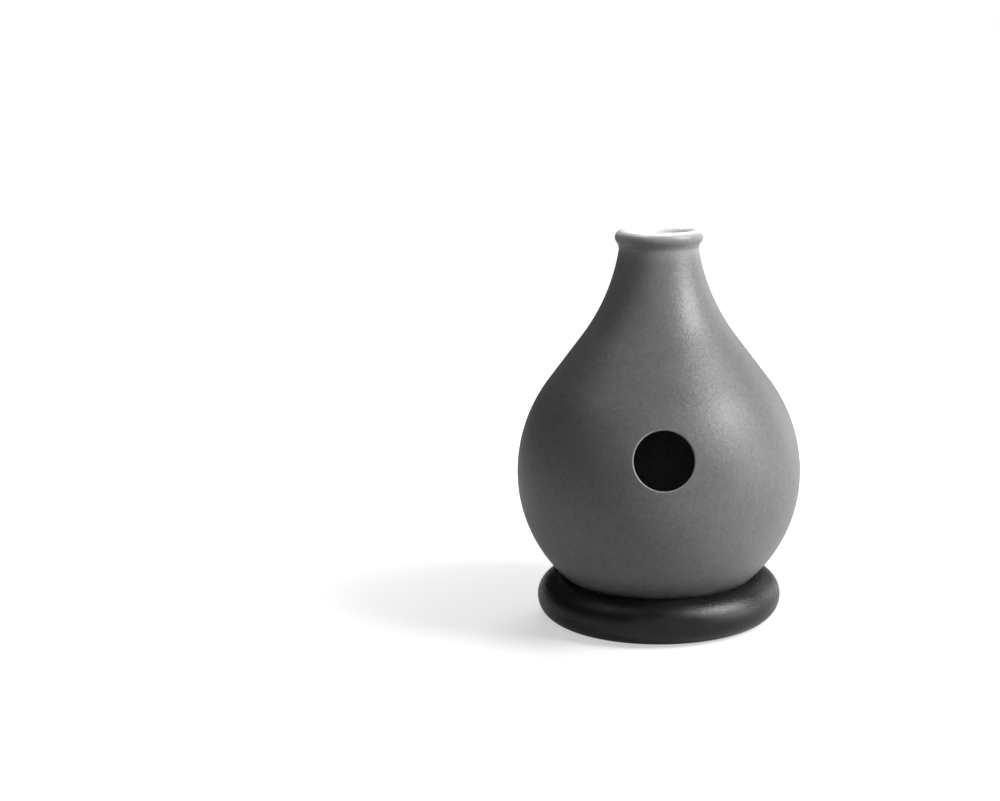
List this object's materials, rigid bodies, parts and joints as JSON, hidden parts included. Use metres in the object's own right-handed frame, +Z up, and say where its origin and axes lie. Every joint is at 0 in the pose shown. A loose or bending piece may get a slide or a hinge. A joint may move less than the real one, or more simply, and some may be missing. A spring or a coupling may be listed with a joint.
{
  "type": "udu drum",
  "caption": "Round-bellied clay udu drum with a drawn-up neck, rolled lip and round tone hole, leaning freely in a black rubber ring stand.",
  "frame": {"origin": "on the floor, at the centre of the object's footprint, under the vessel's axis", "axes": "+Z up along the vessel's axis; the tone hole faces -Y; +X is to the right as the tone hole is looked at"},
  "size_m": [0.25, 0.25, 0.3434],
  "materials": {
    "grey_clay": "satin burnished grey clay, with pale glaze on the lip",
    "black_rubber": "satin moulded black rubber"
  },
  "bodies": {
    "stand": {"rubber_ring": "black_rubber"},
    "drum": {"clay_vessel": "grey_clay"}
  },
  "joints": [
    {"name": "lean_in_ring", "type": "hinge", "parent": "stand", "child": "drum", "pos_m": [0, 0, 0.12983], "axis": [1, 0, 0], "range_deg": [-40, 40]}
  ]
}
